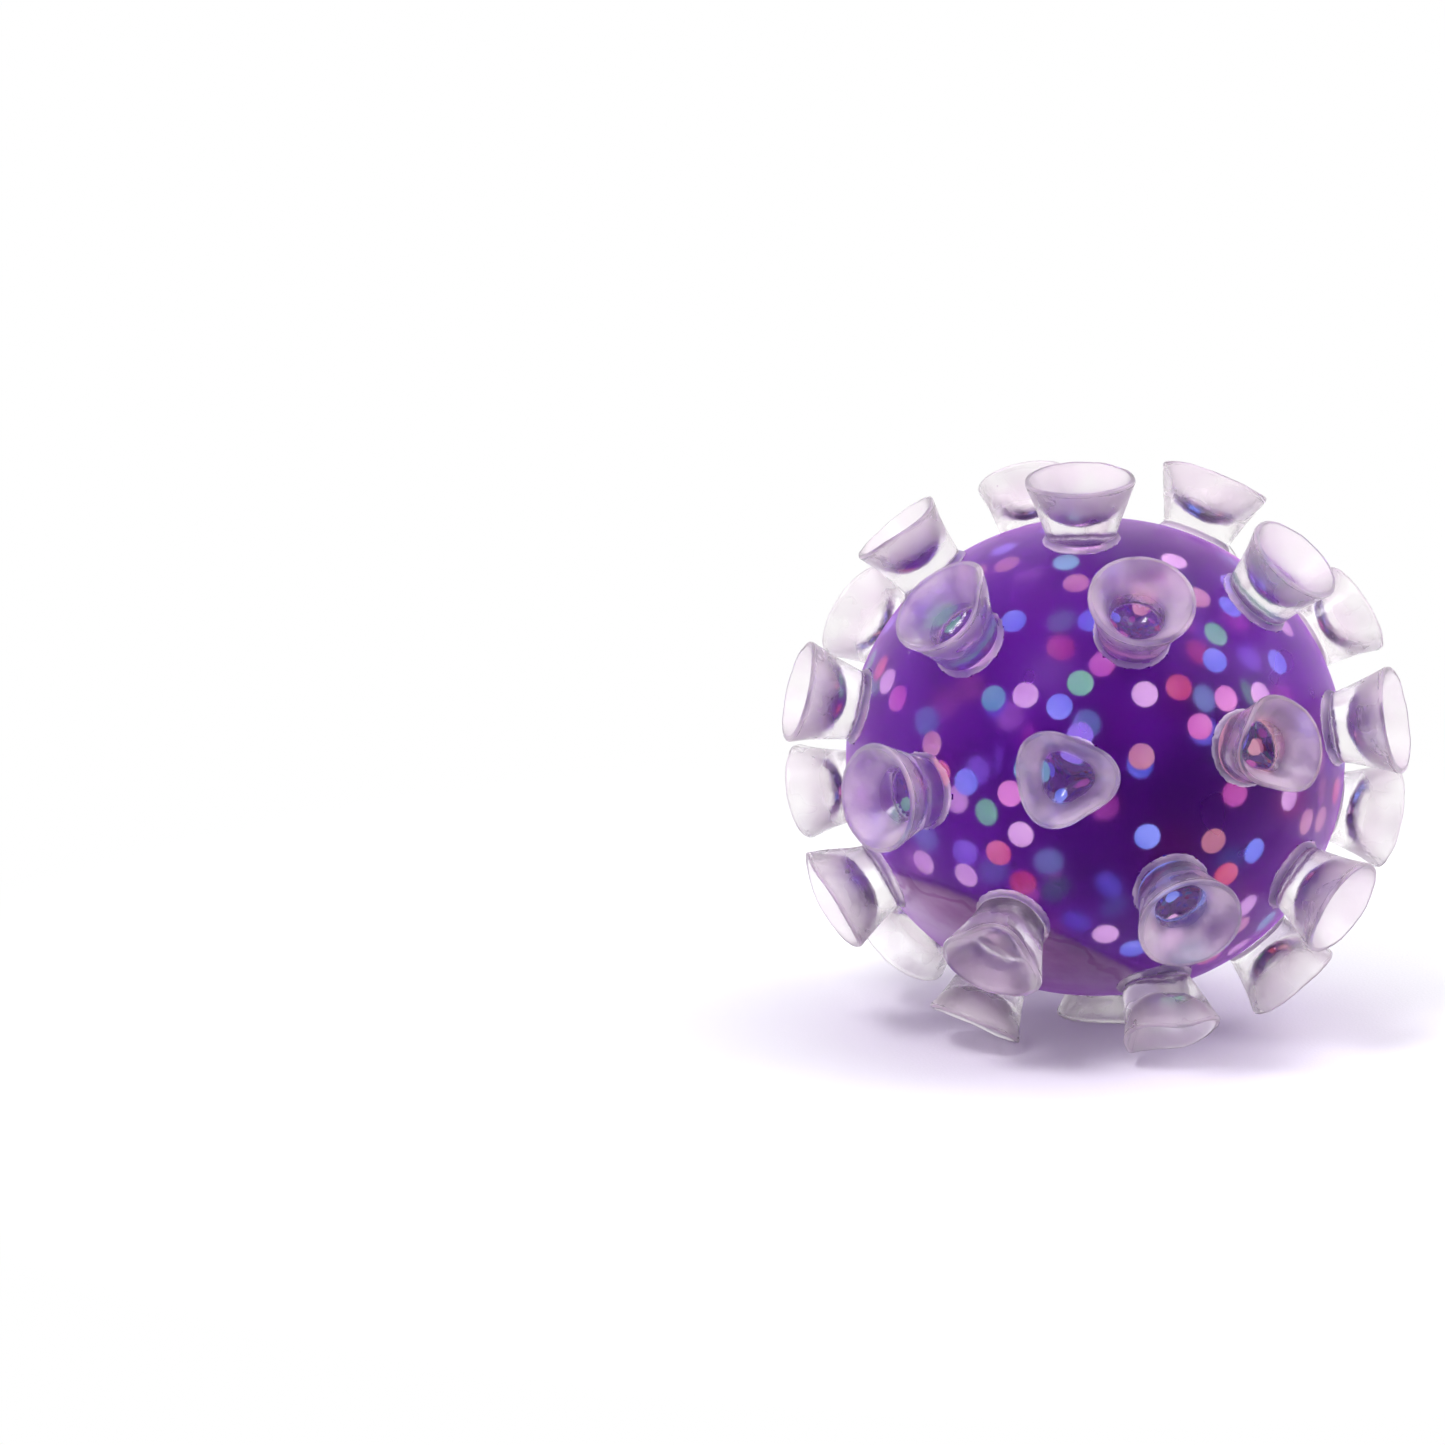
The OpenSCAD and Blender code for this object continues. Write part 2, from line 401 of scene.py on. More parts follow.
def shell_material(settings):
    """Clear soft rubber with faint streaks from the mould and a little dust, stained over the air pocket"""
    material, sheet, output = new_material("clear soft rubber")
    place = object_place(sheet)
    clouds = noise(sheet, place, 60)
    streaks = noise(sheet, object_place(sheet, (1, 1, 7)), 160, 4)
    bump = sheet.node("ShaderNodeBump", Height=streaks + 0.4 * clouds, Strength=0.12, Distance=0.2 * MM)
    over_pocket = sheet.ease(along_plug(sheet, place), GEL_LEVEL, GEL_LEVEL + 0.5 * MM)
    tint = mixed(sheet, over_pocket, (0.98, 0.97, 0.99), film_tint(sheet, place, *OUTER_STAIN))
    skin = sheet.node(
        "ShaderNodeBsdfPrincipled", Base_Color=tint, Roughness=0.24 + 0.1 * clouds, Normal=bump,
        Transmission_Weight=1.0, IOR=settings.bend, Specular_Tint=(*settings.gloss, 1),
        Sheen_Weight=0.65, Sheen_Roughness=0.42, Sheen_Tint=(*settings.sheen, 1))
    dust = sheet.node("ShaderNodeBsdfPrincipled", Base_Color=(0.95, 0.92, 0.97, 1), Roughness=0.6)
    dusty = 0.8 * specks(sheet, place, grains=260, share=0.2, size=0.035)
    sheet.feed(output.inputs["Surface"], sheet.node("ShaderNodeMixShader", i0=dusty, i1=skin, i2=dust))
    return material


def gel_material(settings):
    """See-through purple gel, coloured by its depth, with a cloudy veil whose share varies from place to place,
    partly as random cloudiness and partly as painted shade
    """
    material, sheet, output = new_material("purple gel")
    clear = sheet.node(
        "ShaderNodeBsdfPrincipled", Base_Color=(1, 1, 1, 1), Roughness=0.0, Transmission_Weight=1.0,
        IOR=UNSEEN)
    veil = sheet.node(
        "ShaderNodeBsdfPrincipled", Base_Color=(*settings.veil, 1), Roughness=0.8, Specular_IOR_Level=0.0)
    # The veil's large noise is moved to a chosen place, which sets where the gel thins and looks darker: partly
    # random cloudiness and partly painted shade
    cloud_and_shade_offset = (0, 0, 1.8)
    clouds = sheet.ease(noise(sheet, object_place(sheet, start=cloud_and_shade_offset), 24), 0.38, 0.62)
    cloudy = settings.cloud * (0.25 + 1.75 * clouds)
    body = sheet.node("ShaderNodeMixShader", i0=cloudy, i1=clear, i2=veil)
    depth = sheet.node("ShaderNodeVolumeAbsorption", Color=(*settings.tint, 1), Density=settings.depth)
    sheet.feed(output.inputs["Surface"], body)
    sheet.feed(output.inputs["Volume"], depth)
    return material


def confetti_material(name, paint, painted_glow):
    """Bright foil dot that glows with painted light, a little paler or deeper from dot to dot"""
    material, sheet, output = new_material(name.replace("_", " "))
    shade = noise(sheet, object_place(sheet), 150, 1)
    deep = [0.75 * part for part in paint]
    pale = [1 - 0.8 * (1 - part) for part in paint]
    colour = mixed(sheet, sheet.ease(shade, 0.3, 0.7), deep, pale)
    grain = noise(sheet, object_place(sheet), 2500)
    # The emission in the dot's own colour is painted light, not a lamp
    foil = sheet.node(
        "ShaderNodeBsdfPrincipled", Base_Color=colour, Roughness=0.3 + 0.2 * grain, Coat_Weight=0.3,
        Emission_Color=colour, Emission_Strength=painted_glow)
    sheet.feed(output.inputs["Surface"], foil)
    return material


def cup_material(settings):
    """Clear soft rubber with a rippled skin, small bubbles and a lilac milkiness where it is frosted"""
    material, sheet, output = new_material("milky clear rubber")
    place = object_place(sheet)
    frost = sheet.node("ShaderNodeAttribute", {"attribute_name": "frost"}, out=2)
    clouds = noise(sheet, place, 220)
    ripple = noise(sheet, place, 700, 3)
    bump = sheet.node("ShaderNodeBump", Height=clouds + 0.9 * ripple, Strength=0.45, Distance=0.2 * MM)
    clear = sheet.node(
        "ShaderNodeBsdfPrincipled", Base_Color=(*settings.clear, 1),
        Roughness=0.05 + frost * (0.22 + 0.25 * clouds),
        Transmission_Weight=1.0, IOR=settings.bend, Normal=bump)
    milk = sheet.node(
        "ShaderNodeBsdfPrincipled", Base_Color=(*settings.milk, 1), Roughness=0.5,
        Specular_IOR_Level=0.2, Normal=bump)
    haze = settings.milkiness * frost * frost * (0.35 + 1.3 * sheet.ease(clouds, 0.3, 0.7))
    bubbles = 0.7 * specks(sheet, place, grains=520, share=0.25, size=0.06)
    share = sheet.maths("MAXIMUM", haze, bubbles)
    sheet.feed(output.inputs["Surface"], sheet.node("ShaderNodeMixShader", i0=share, i1=clear, i2=milk))
    return material


def plug_material(bend):
    """Milky rubber of the filling plug"""
    material, sheet, output = new_material("milky plug rubber")
    clouds = noise(sheet, object_place(sheet), 500)
    rubber = sheet.node(
        "ShaderNodeBsdfPrincipled", Base_Color=(*PAINTS["plug_rubber"], 1), Roughness=0.35 + 0.2 * clouds,
        Transmission_Weight=0.5, IOR=bend)
    sheet.feed(output.inputs["Surface"], rubber)
    return material


# Cloth under the ball: the colour and reach of its painted lilac shadow, the colour, reach and share of painted
# light from the ball that lifts the shadow, and where the cloth turns plain white
PAINTED_SHADOW_TINT = (0.90, 0.84, 0.93)
PAINTED_SHADOW_REACH = (0.01, 0.055)
PAINTED_BALL_LIGHT = (0.78, 0.60, 1.0)
PAINTED_LIGHT_REACH = (0.02, 0.06)
PAINTED_LIGHT_SHARE = 0.12
WHITE_FROM = (0.05, 0.16)


def cloth_material(colour):
    """Pale cloth, painted lilac in its shadow near the ball and lifted there by a little painted light from the
    ball, plain white further away
    """
    material, sheet, output = new_material("pale cloth")
    place = sheet.node("ShaderNodeTexCoord", out=3)
    weave = noise(sheet, place, 2600) + noise(sheet, place, 60)
    bump = sheet.node("ShaderNodeBump", Height=weave, Strength=0.12, Distance=0.3 * MM)
    away = sheet.node("ShaderNodeVectorMath", {"operation": "LENGTH"}, out=1, i0=place)
    # Painted shadow: near the ball the base colour turns lilac, which shows only in the shade, as the colour of
    # the light that the ball lets through
    lilac = [part * share for part, share in zip(colour, PAINTED_SHADOW_TINT)]
    cloth = sheet.node(
        "ShaderNodeBsdfPrincipled", Base_Color=mixed(sheet, sheet.ease(away, *PAINTED_SHADOW_REACH), lilac, colour),
        Roughness=0.9, Specular_IOR_Level=0.1, Normal=bump)
    # Painted light: near the ball the emission takes the colour of the light that comes through the ball
    through = mixed(sheet, sheet.ease(away, *PAINTED_LIGHT_REACH), PAINTED_BALL_LIGHT, (1, 1, 1))
    white = sheet.node("ShaderNodeEmission", Color=through, Strength=1.0)
    path = sheet.node("ShaderNodeLightPath").socket.node.outputs
    seen = Wire(sheet, path["Is Camera Ray"]) + Wire(sheet, path["Is Transmission Ray"])
    seen = seen + Wire(sheet, path["Is Glossy Ray"])
    # Near the ball a small share of this painted light lifts the shadow; further away the emission is the plain
    # white backdrop
    share = PAINTED_LIGHT_SHARE + (1 - PAINTED_LIGHT_SHARE) * sheet.ease(away, *WHITE_FROM)
    plain = share * sheet.maths("MINIMUM", seen, 1.0)
    sheet.feed(output.inputs["Surface"], sheet.node("ShaderNodeMixShader", i0=plain, i1=cloth, i2=white))
    return material


def new_object(name, mesh, *materials):
    """Puts a mesh into the scene and adds materials to it"""
    made = bpy.data.objects.new(name, mesh)
    bpy.context.scene.collection.objects.link(made)
    for material in materials:
        mesh.materials.append(material)
    return made


# Materials of the shell, in the order of its slots
OUTSIDE, WETTED, DRY, BONDED = range(4)


def ball_skin(bm, grow, settings, inward=False):
    """Adds the ball's surface, grown by so much, to a mesh; an inner wall faces inwards"""
    radius = SIDE_R + grow
    turns = [math.pi * (step / settings.steps - 0.5) for step in range(settings.steps + 1)]
    rings = []
    for turn in turns:
        flat = SIDE_X + radius * math.cos(turn)
        height = radius * math.sin(turn)
        rings.append([
            bm.verts.new(BALL_MIDDLE + Vector((flat * math.cos(a), flat * math.sin(a), height)))
            for a in (2 * math.pi * k / settings.around for k in range(settings.around))
        ])
    poles = [bm.verts.new(BALL_MIDDLE + Vector((0, 0, side * radius))) for side in (-1, 1)]
    faces = []
    for k in range(settings.around):
        after = (k + 1) % settings.around
        faces.append((poles[0], rings[0][after], rings[0][k]))
        faces.append((poles[1], rings[-1][k], rings[-1][after]))
        for low, high in zip(rings, rings[1:]):
            faces.append((low[k], low[after], high[after], high[k]))
    for corners in faces:
        face = bm.faces.new(reversed(corners) if inward else corners)
        face.smooth = True
        face.material_index = WETTED if inward else OUTSIDE


def finished_mesh(name, bm):
    """A plain mesh from a bmesh"""
    mesh = bpy.data.meshes.new(name)
    bm.to_mesh(mesh)
    bm.free()
    return mesh


def modified_mesh(work):
    """The evaluated mesh of a work object, which is then removed"""
    bpy.context.view_layer.update()
    shape = work.evaluated_get(bpy.context.evaluated_depsgraph_get())
    mesh = bpy.data.meshes.new_from_object(shape)
    for modifier in list(work.modifiers):
        work.modifiers.remove(modifier)
    bpy.data.objects.remove(work)
    return mesh


class SQUEEZEBALL_OT_stage(bpy.types.Operator):
    """Makes the camera, the floor, the light and the white background"""

    bl_idname = "squeezeball.stage"
    bl_label = "Stage"

    def execute(self, context):
        settings = context.scene.squeeze_ball.stage
        self.camera(context, settings)
        self.floor(settings)
        self.lamps()
        self.world(context, settings)
        context.scene.view_settings.view_transform = "Standard"
        return {"FINISHED"}

    @staticmethod
    def camera(context, settings):
        """A camera that sees the ball where the picture shows it"""
        back = Vector((0, -math.cos(settings.height), math.sin(settings.height)))
        aim = (-back).to_track_quat("-Z", "Y")
        pixel = HALF_WIDTH / settings.half
        right = (settings.picture / 2 - settings.middle[0]) * pixel
        up = (settings.middle[1] - settings.picture / 2) * pixel
        data = bpy.data.cameras.new("camera")
        data.sensor_width = settings.sensor
        data.lens = settings.sensor * settings.distance / (settings.picture * pixel)
        data.clip_start = 0.01
        camera = bpy.data.objects.new("camera", data)
        camera.rotation_mode = "QUATERNION"
        camera.rotation_quaternion = aim
        camera.location = BALL_MIDDLE + back * settings.distance + aim @ Vector((right, up, 0))
        context.scene.collection.objects.link(camera)
        context.scene.camera = camera

    @staticmethod
    def floor(settings):
        """A wide floor that curves up into a backdrop"""
        half, front, back, rise, curve, steps = 6.0, -4.0, 3.0, 4.0, 1.0, 16
        bend = [(back + curve * math.sin(a), curve - curve * math.cos(a))
                for a in (math.pi / 2 * k / steps for k in range(steps + 1))]
        bm = bmesh.new()
        rows = [[bm.verts.new((x, y, z)) for x in (-half, half)]
                for y, z in [(front, 0), *bend, (back + curve, rise)]]
        for near, far in zip(rows, rows[1:]):
            bm.faces.new((near[0], near[1], far[1], far[0])).smooth = True
        new_object("floor", finished_mesh("floor", bm), cloth_material(settings.floor))

    @staticmethod
    def lamps():
        """Large soft lamps over the ball"""
        for name, place, size, power in (
            ("lamp_right", (0.75, -0.05, 0.7), 0.9, 6.5),
            ("lamp_front_left", (-0.45, -0.65, 1.0), 0.35, 9.0),
        ):
            data = bpy.data.lights.new(name, "AREA")
            data.size = size
            data.energy = power
            lamp = bpy.data.objects.new(name, data)
            lamp.location = place
            lamp.rotation_mode = "QUATERNION"
            lamp.rotation_quaternion = (BALL_MIDDLE - lamp.location).to_track_quat("-Z", "Y")
            bpy.context.scene.collection.objects.link(lamp)

    @staticmethod
    def world(context, settings):
        """White studio that is dimmer on the camera's side"""
        world = bpy.data.worlds.new("studio")
        world.use_nodes = True
        world.node_tree.nodes.clear()
        sheet = Sheet(world.node_tree)
        output = world.node_tree.nodes.new("ShaderNodeOutputWorld")
        _, to_back, _ = sheet.parts(sheet.node("ShaderNodeTexCoord", out=0))
        dim, dim_to, lit_from = settings.front_light, -0.9, -0.3
        lit = dim + (1 - dim) * sheet.ease(to_back, dim_to, lit_from)
        path = sheet.node("ShaderNodeLightPath").socket.node.outputs
        strength = sheet.maths("MAXIMUM", lit, Wire(sheet, path["Is Camera Ray"]))
        white = sheet.node("ShaderNodeBackground", Color=(1, 1, 1, 1), Strength=strength)
        sheet.feed(output.inputs["Surface"], white)
        context.scene.world = world


class SQUEEZEBALL_OT_shell(bpy.types.Operator):
    """Makes the clear shell, with the filling hole cut through it"""

    bl_idname = "squeezeball.shell"
    bl_label = "Clear shell"

    def execute(self, context):
        settings = context.scene.squeeze_ball.ball
        bm = bmesh.new()
        ball_skin(bm, 0, settings)
        ball_skin(bm, -WALL, settings, inward=True)
        covered = context.scene.squeeze_ball.cups.foot_r - settings.bond_in
        for face in bm.faces:
            middle = face.calc_center_median()
            if face.material_index == WETTED and (middle - BALL_MIDDLE).dot(PLUG_AXIS) > GEL_LEVEL:
                face.material_index = DRY
            elif face.material_index == OUTSIDE and self.nearest_cup(middle) < covered:
                face.material_index = BONDED
        materials = (
            shell_material(settings),
            inner_wall_material("wetted inner wall", UNSEEN, WET_FILM),
            inner_wall_material("dry inner wall", settings.bend, DRY_FILM),
            bond_material("bonded patch"),
        )
        work = new_object("shell_work", finished_mesh("clear_shell", bm), *materials)
        drill = self.drill(settings)
        cut = work.modifiers.new("filling hole", "BOOLEAN")
        cut.operation = "DIFFERENCE"
        cut.solver = "EXACT"
        cut.object = drill
        shell = new_object("clear_shell", modified_mesh(work))
        bpy.data.objects.remove(drill)
        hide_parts("shell")
        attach(shell, "ball")
        return {"FINISHED"}

    @staticmethod
    def nearest_cup(point):
        """How far a point is from the pivot of the nearest cup"""
        return min((point - neck_pivot(cup)).length for cup in CUP_NAMES)

    @staticmethod
    def drill(settings):
        """A round bar along the filling hole"""
        bm = bmesh.new()
        place = Matrix.Translation(BALL_MIDDLE + PLUG_AXIS * SIDE_R)
        turn = PLUG_AXIS.to_track_quat("Z", "Y").to_matrix().to_4x4()
        bmesh.ops.create_cone(
            bm, cap_ends=True, segments=48, radius1=settings.hole / 2, radius2=settings.hole / 2,
            depth=SIDE_R / 2, matrix=place @ turn)
        return new_object("drill", finished_mesh("drill", bm))


class SQUEEZEBALL_OT_gel(bpy.types.Operator):
    """Makes the gel, which wets the shell and has set with one flat face"""

    bl_idname = "squeezeball.gel"
    bl_label = "Gel"

    def execute(self, context):
        settings = context.scene.squeeze_ball.ball
        bm = bmesh.new()
        ball_skin(bm, settings.seat - WALL, settings)
        level = BALL_MIDDLE + PLUG_AXIS * GEL_LEVEL
        everything = bm.verts[:] + bm.edges[:] + bm.faces[:]
        cut = bmesh.ops.bisect_plane(
            bm, geom=everything, plane_co=level, plane_no=PLUG_AXIS, clear_outer=True)["geom_cut"]
        edges = [part for part in cut if isinstance(part, bmesh.types.BMEdge)]
        for edge in edges:
            edge.smooth = False
        bmesh.ops.holes_fill(bm, edges=edges)
        gel = new_object("purple_gel", finished_mesh("purple_gel", bm), gel_material(settings))
        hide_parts("gel_fill")
        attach(gel, "ball")
        return {"FINISHED"}


class SQUEEZEBALL_OT_filling(bpy.types.Operator):
    """Gives the confetti and the filling plug their finish"""

    bl_idname = "squeezeball.filling"
    bl_label = "Confetti and plug"

    def execute(self, context):
        colours = context.scene.squeeze_ball.confetti
        for name in CONFETTI:
            self.paint(name, confetti_material(name, getattr(colours, name.split("_")[1]), colours.painted_glow))
        self.paint("filler_plug", plug_material(context.scene.squeeze_ball.ball.bend))
        return {"FINISHED"}

    @staticmethod
    def paint(node, material):
        """Puts one material on a CAD node"""
        slots = NODES[node].data.materials
        slots.clear()
        slots.append(material)


# How a soft cup has set: the tips of its rim, each with a direction in degrees and a reach, its oval,
# and how deep its hollow has stayed
Warp = namedtuple("Warp", "tips oval oval_turn hollow", defaults=((), 0.03, 0, 1))
SEEN_WARPS = {
    "cup_03": Warp(oval=0.04, oval_turn=90),
    "cup_05": Warp(tips=((250, 0.05),)),
    "cup_06": Warp(tips=((40, 0.12),), oval=0.05),
    "cup_07": Warp(oval=0.02),
    "cup_11": Warp(tips=((100, 0.05),), oval=0.03, oval_turn=90),
    "cup_13": Warp(tips=((-40, 0.16), (90, 0.06))),
    "cup_15": Warp(oval=0.04),
    "cup_16": Warp(tips=((20, 0.08), (200, 0.04)), oval=0.05),
    "cup_21": Warp(tips=((100, 0.15), (-50, 0.20), (195, 0.15))),
    "cup_22": Warp(tips=((230, 0.08),)),
    "cup_26": Warp(tips=((130, 0.20), (5, 0.22), (250, 0.19))),
    "cup_27": Warp(tips=((30, 0.22), (150, 0.22), (270, 0.22))),
    "cup_28": Warp(tips=((-50, 0.22), (180, 0.18), (70, 0.16)), hollow=0.55),
    "cup_29": Warp(tips=((88, 0.42), (230, 0.06))),
    "cup_31": Warp(tips=((100, 0.06),)),
    "cup_32": Warp(tips=((130, 0.26), (300, 0.12))),
}


# How frosted the mould has left a cup: 0 is clear and 1 is milky
FROST = {
    "foot": 1.1, "fillet": 0.7, "neck": 0.42, "bell": 0.67,
    "band": 0.6, "bead": 0.9, "crease": 0.8, "eye": 0.3,
}

# Steps along the section of a cup
UNDER_STEPS = 8
NECK_STEPS = 8
FLARE_STEPS = 18
BOWL_STEPS = 28
ROUND_STEPS = 6
CREASE_STEPS = 4


def section_of_cup(settings, height, hollow):
    """Half section of a cup with its foot, from the middle of the foot to the middle of the hollow.

    Each point is a radius, a height and how frosted the mould has left the skin there.
    """
    points = []

    def drop(r):
        """How far under its top the shell lies, so far out"""
        return math.sqrt(SIDE_R ** 2 - r ** 2) - SIDE_R

    def bowl_frost(share):
        """A hollow is clear at its eye and milky at its mouth, and a shallow one is milky all over"""
        return min(1, max(FROST["eye"], 1.6 * (1 - hollow), 4 * share - 1.6))

    def arc(middle, radius, start, end, steps, frost):
        """Adds a rounded corner, from one angle to another"""
        for k in range(steps + 1):
            a = math.radians(start + (end - start) * k / steps)
            points.append((middle[0] + radius * math.cos(a), middle[1] + radius * math.sin(a), frost))

    def flare(end, depth):
        """Adds the outside of the cup, a little hollow, from its neck to the band under its lip"""
        start = Vector(points[-1][:2])
        line = Vector(end) - start
        side = Vector((-line.y, line.x)).normalized()
        for k in range(1, FLARE_STEPS):
            t = k / FLARE_STEPS
            bowed = start + line * t + side * 4 * depth * t * (1 - t)
            above_neck = min(1, (k - 1) / NECK_STEPS)
            points.append((*bowed, FROST["neck"] + (FROST["bell"] - FROST["neck"]) * above_neck))

    edge, fillet, bead, crease = settings.foot_t / 2, 0.25 * MM, 0.22 * MM, 0.08 * MM
    last = settings.foot_r - edge
    for k in range(UNDER_STEPS + 1):
        r = last * k / UNDER_STEPS
        points.append((r, drop(r) - settings.sink, 0.0))
    arc((last, drop(last) + edge), edge, -60, 75, ROUND_STEPS, FROST["foot"])
    arc((settings.neck_r + fillet, settings.neck_z), fillet, 235, 180, ROUND_STEPS, FROST["fillet"])
    band = (settings.rim_r, height - settings.lip_d)
    flare(band, settings.waist)
    points.append((*band, FROST["band"]))
    arc((settings.rim_r - bead, height - bead), bead, 0, 90, ROUND_STEPS, FROST["bead"])
    inner = settings.rim_r - settings.lip_w + crease
    arc((inner, height - crease), crease, 90, 145, CREASE_STEPS, FROST["crease"])
    mouth_r, mouth_z, _ = points[-1]
    for k in range(1, BOWL_STEPS + 1):
        share = 1 - k / BOWL_STEPS
        deep = hollow * (mouth_z - settings.eye_z) * (1 - share ** settings.bowl)
        points.append((mouth_r * share, mouth_z - deep, bowl_frost(share)))
    return points


# How a soft rim sets: how narrow its tips are, and how far they and its oval draw in the rest of it
TIP_POWER = 5.0
TIP_DRAW = 0.3
OVAL_DRAW = 0.5

# Where a cup is soft: from its bell to this share of its height, and outside its eye
SOFT_TO = 0.75
EYE_EDGE = (0.1 * MM, 3 * MM)

# Where the glue shows: outside this many neck widths and under this height
GLUE_FROM = 1.1
GLUE_TOP = 1.2 * MM


def cup_tree():
    """Geometry Nodes: turns a half section into a cup and lets its soft rim set out of round"""
    tree = bpy.data.node_groups.new("Soft suction cup", "GeometryNodeTree")
    sheet = Sheet(tree)
    tree.interface.new_socket("Section", in_out="INPUT", socket_type="NodeSocketGeometry")
    for name in ("Around", "Seed"):
        tree.interface.new_socket(name, in_out="INPUT", socket_type="NodeSocketInt")
    tips = [("Tip %d turn" % k, "Tip %d reach" % k) for k in (1, 2, 3)]
    sizes = ("Height", "Bell from", "Oval", "Oval turn", *sum(tips, ()), "Tip lift", "Droop", "Bend from",
             "Bend to", "Uneven", "Bond", "Foot from")
    for name in sizes:
        tree.interface.new_socket(name, in_out="INPUT", socket_type="NodeSocketFloat")
    tree.interface.new_socket("Material", in_out="INPUT", socket_type="NodeSocketMaterial")
    tree.interface.new_socket("Cup", in_out="OUTPUT", socket_type="NodeSocketGeometry")
    entry = tree.nodes.new("NodeGroupInput")
    given = {socket.name: Wire(sheet, socket) for socket in entry.outputs if socket.name}

    # A grid with one column for each step round, bent along the section
    count = sheet.node("GeometryNodeAttributeDomainSize", Geometry=given["Section"])
    grid = sheet.node("GeometryNodeMeshGrid", Vertices_X=given["Around"] + 1, Vertices_Y=count)
    index = sheet.node("GeometryNodeInputIndex")
    place = sheet.node(
        "GeometryNodeSampleIndex", {"data_type": "FLOAT_VECTOR"}, Geometry=given["Section"],
        Value=sheet.node("GeometryNodeInputPosition"), Index=index % count)
    radius, _, height = sheet.parts(place)
    frost = sheet.node(
        "GeometryNodeSampleIndex", Geometry=given["Section"],
        Value=sheet.node("GeometryNodeInputNamedAttribute", Name="frost"), Index=index % count)
    angle = sheet.maths("FLOOR", index / count) / given["Around"] * (2 * math.pi)
    cosine = sheet.maths("COSINE", angle)
    sine = sheet.maths("SINE", angle)

    # The rim sets out of round, and more so towards the lip
    soft = sheet.ease(height, given["Bell from"], SOFT_TO * given["Height"])
    rim = soft * sheet.ease(radius, *EYE_EDGE)
    out = given["Oval"] * (sheet.maths("COSINE", 2 * (angle - given["Oval turn"])) - OVAL_DRAW)
    lift = 0.0
    for turn, reach in tips:
        near = sheet.maths("MAXIMUM", sheet.maths("COSINE", angle - given[turn]), 0.0)
        tip = sheet.maths("POWER", near, TIP_POWER)
        out = out + given[reach] * (tip - TIP_DRAW)
        lift = lift + given[reach] * tip
    reach = 1 + rim * out

    # Fine ripple of the rim, and the uneven line of glue round the foot
    apart = 7.3
    circle = sheet.node("ShaderNodeCombineXYZ", X=cosine, Y=sine, Z=given["Seed"] * apart)
    ripple = sheet.node("ShaderNodeTexNoise", Vector=circle, Scale=2.2, Detail=2.0) - 0.5
    crumbs = sheet.node("ShaderNodeTexNoise", Vector=circle, Scale=7.0, Detail=3.0) - 0.5
    beside_neck = sheet.ease(radius, given["Foot from"], given["Foot from"] * GLUE_FROM)
    foot = beside_neck * (1 - sheet.ease(height, 0.0, GLUE_TOP))
    wide = radius * reach + rim * ripple * given["Uneven"] * 2 + foot * crumbs * given["Bond"] * 2
    tall = height + rim * (lift * given["Tip lift"] + ripple * given["Uneven"] * 2)
    ring = sheet.node("ShaderNodeCombineXYZ", X=wide * cosine, Y=wide * sine, Z=tall)
    bent = sheet.ease(height, given["Bend from"], given["Bend to"]) * given["Droop"]
    shape = sheet.node("ShaderNodeVectorRotate", {"rotation_type": "X_AXIS"}, Vector=ring, Angle=bent)

    cup = sheet.node("GeometryNodeStoreNamedAttribute", Geometry=grid, Name="frost", Value=frost)
    cup = sheet.node("GeometryNodeSetPosition", Geometry=cup, Position=shape)
    cup = sheet.node("GeometryNodeMergeByDistance", Geometry=cup, Distance=0.002 * MM)
    cup = sheet.node("GeometryNodeSetShadeSmooth", Geometry=cup)
    cup = sheet.node("GeometryNodeRealizeInstances", Geometry=cup)
    cup = sheet.node("GeometryNodeSetMaterial", Geometry=cup, Material=given["Material"])
    sheet.feed(tree.nodes.new("NodeGroupOutput").inputs["Cup"], cup)
    return tree


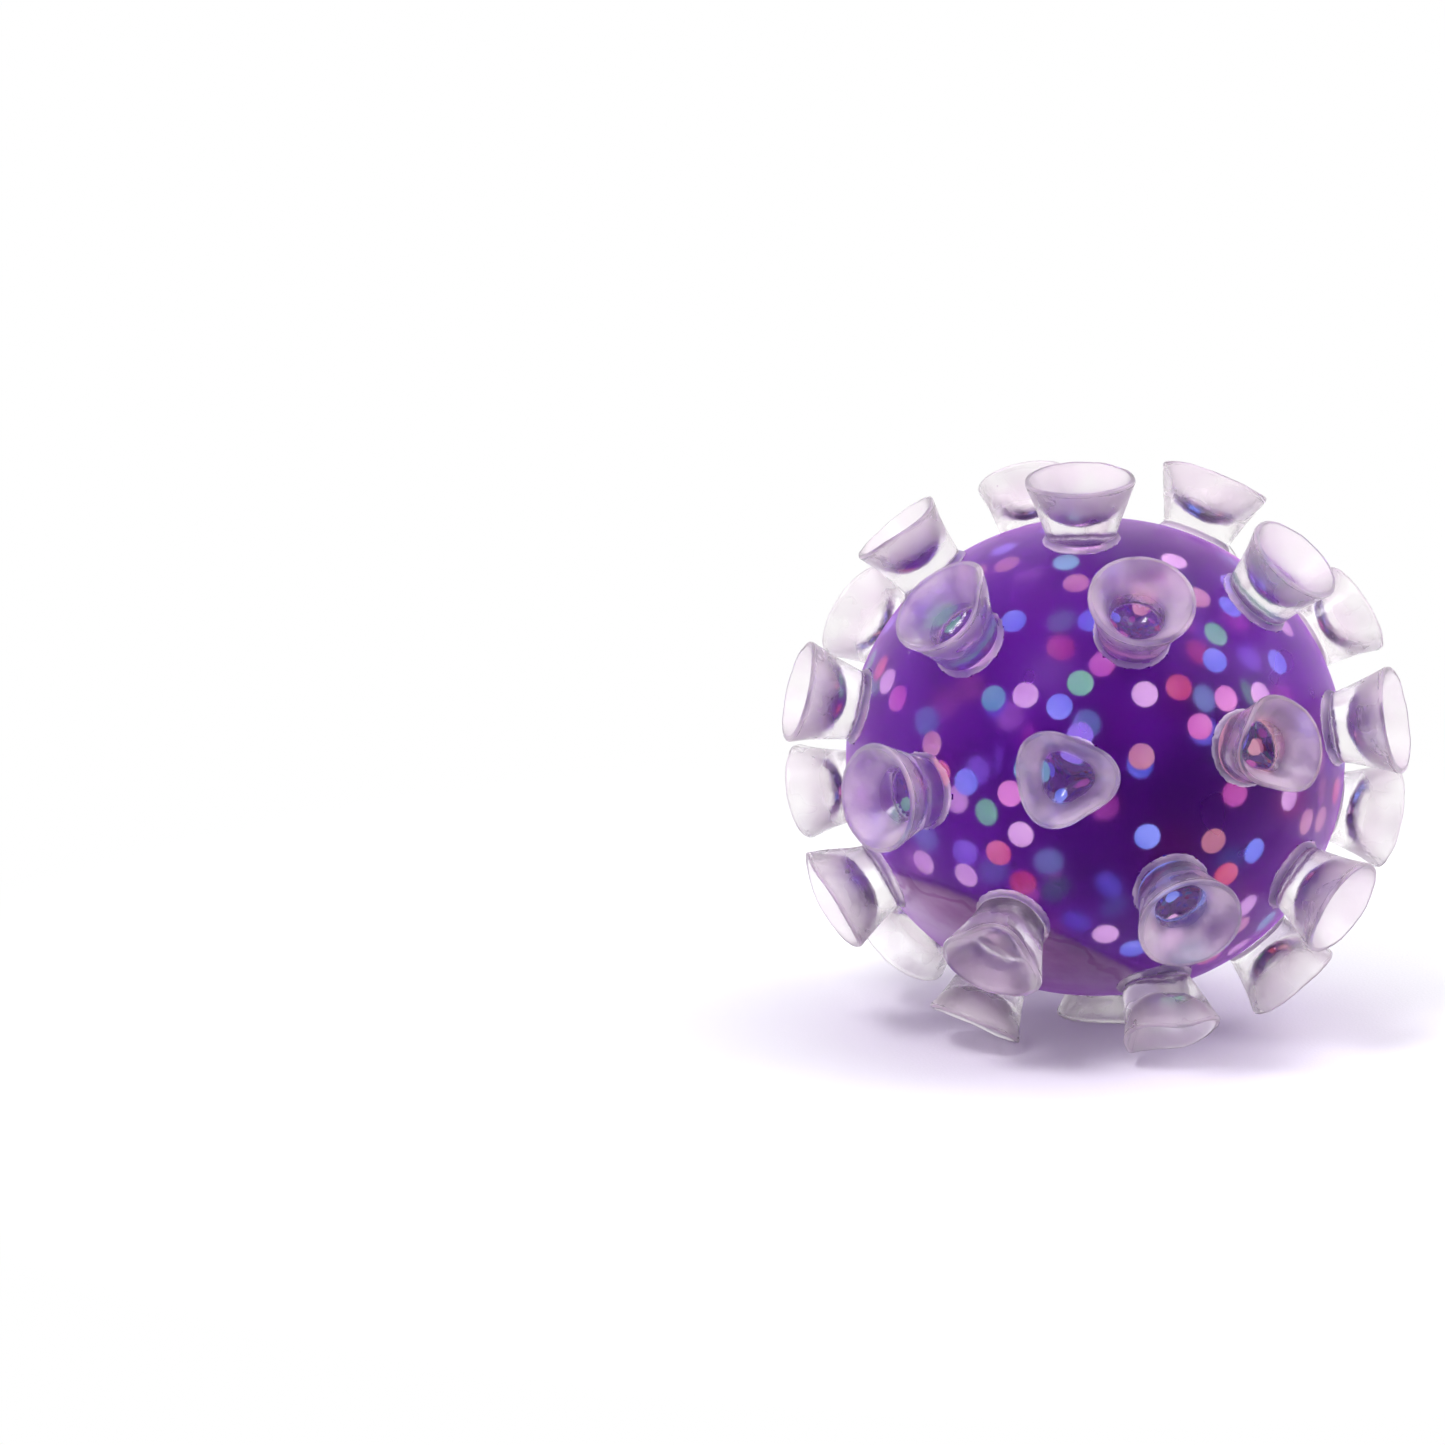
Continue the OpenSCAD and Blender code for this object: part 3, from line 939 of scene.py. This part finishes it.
class SQUEEZEBALL_OT_cups(bpy.types.Operator):
    """Makes the soft suction cups, each in one piece with its foot"""

    bl_idname = "squeezeball.cups"
    bl_label = "Suction cups"

    def execute(self, context):
        settings = context.scene.squeeze_ball.cups
        material = cup_material(settings)
        bond = bond_material("bonded foot")
        tree = cup_tree()
        for seed, name in enumerate(CUP_NAMES, 1):
            self.cup(name, seed, settings, tree, material, bond)
        return {"FINISHED"}

    @staticmethod
    def cup(name, seed, settings, tree, material, bond):
        """One cup, bent from the shell's own direction to that of its mouth"""
        pivot = neck_pivot(name)
        normal = shell_normal(pivot)
        east = Vector(NECKS[name]["axis"]).normalized()
        height = lip_height(name)
        luck = random.Random(seed)
        warp = SEEN_WARPS.get(name) or Warp(
            tips=((luck.uniform(0, 360), luck.uniform(0.02, 0.12)),), oval=luck.uniform(0.02, 0.06),
            oval_turn=luck.uniform(0, 180))
        lean = math.atan2(normal.cross(lip_axis(name)).dot(east), normal.dot(lip_axis(name)))
        bm = bmesh.new()
        frost = bm.verts.layers.float.new("frost")
        chain = []
        for r, z, amount in section_of_cup(settings, height, warp.hollow):
            chain.append(bm.verts.new((r, 0, z)))
            chain[-1][frost] = amount
        for low, high in zip(chain, chain[1:]):
            bm.edges.new((low, high))
        work = new_object("cup_work", finished_mesh("suction_" + name, bm))
        modifier = work.modifiers.new("soft cup", "NODES")
        modifier.node_group = tree
        values = {
            "Around": settings.around, "Seed": seed, "Height": height, "Bell from": settings.bell_from,
            "Oval": warp.oval, "Oval turn": math.radians(warp.oval_turn), "Tip lift": settings.tip_lift,
            "Droop": lean, "Bend from": settings.bend_from, "Bend to": settings.bend_to,
            "Uneven": settings.uneven, "Bond": settings.bond, "Foot from": settings.neck_r,
            "Material": material,
        }
        for k, (turn, reach) in enumerate(warp.tips, 1):
            values["Tip %d turn" % k] = math.radians(turn)
            values["Tip %d reach" % k] = reach
        for item in tree.interface.items_tree:
            if item.name in values:
                modifier[item.identifier] = values[item.name]
        mesh = modified_mesh(work)
        mesh.materials.clear()
        cup = new_object("suction_" + name, mesh, material, bond)
        for face in mesh.polygons:
            faces_down = face.normal.z < -0.9
            face.material_index = int(faces_down and face.center.z < settings.foot_t / 4)
        turn = Matrix((east, normal.cross(east), normal)).transposed().to_4x4()
        mesh.transform(Matrix.Translation(pivot) @ turn)
        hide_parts(name, "cup_feet")
        pivot + normal * settings.bend_from
        pivot + normal * settings.bend_to
        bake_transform(cup)


class SQUEEZEBALL_PT_panel(bpy.types.Panel):
    """Lists the steps and the settings"""

    bl_idname = "SQUEEZEBALL_PT_panel"
    bl_label = "Squeeze ball"
    bl_space_type = "VIEW_3D"
    bl_region_type = "UI"
    bl_category = "Squeeze ball"

    def draw(self, context):
        for operator in OPERATORS:
            self.layout.operator(operator.bl_idname)
        settings = context.scene.squeeze_ball
        for group in (settings.ball, settings.confetti, settings.cups, settings.stage):
            box = self.layout.box()
            for name in group.__annotations__:
                box.prop(group, name)


OPERATORS = (
    SQUEEZEBALL_OT_stage,
    SQUEEZEBALL_OT_shell,
    SQUEEZEBALL_OT_gel,
    SQUEEZEBALL_OT_filling,
    SQUEEZEBALL_OT_cups,
)
SETTINGS = (BallSettings, CupSettings, ConfettiSettings, StageSettings, SqueezeBallSettings)
CLASSES = (*SETTINGS, *OPERATORS, SQUEEZEBALL_PT_panel)


def register():
    """Adds the classes and the settings"""
    for made in CLASSES:
        bpy.utils.register_class(made)
    bpy.types.Scene.squeeze_ball = PointerProperty(type=SqueezeBallSettings)


def unregister():
    """Takes the settings and the classes away again"""
    del bpy.types.Scene.squeeze_ball
    for made in reversed(CLASSES):
        bpy.utils.unregister_class(made)


def main():
    """Makes every piece in order"""
    register()
    bpy.ops.squeezeball.stage()
    bpy.ops.squeezeball.shell()
    bpy.ops.squeezeball.gel()
    bpy.ops.squeezeball.filling()
    bpy.ops.squeezeball.cups()


if __name__ == "__main__":
    main()
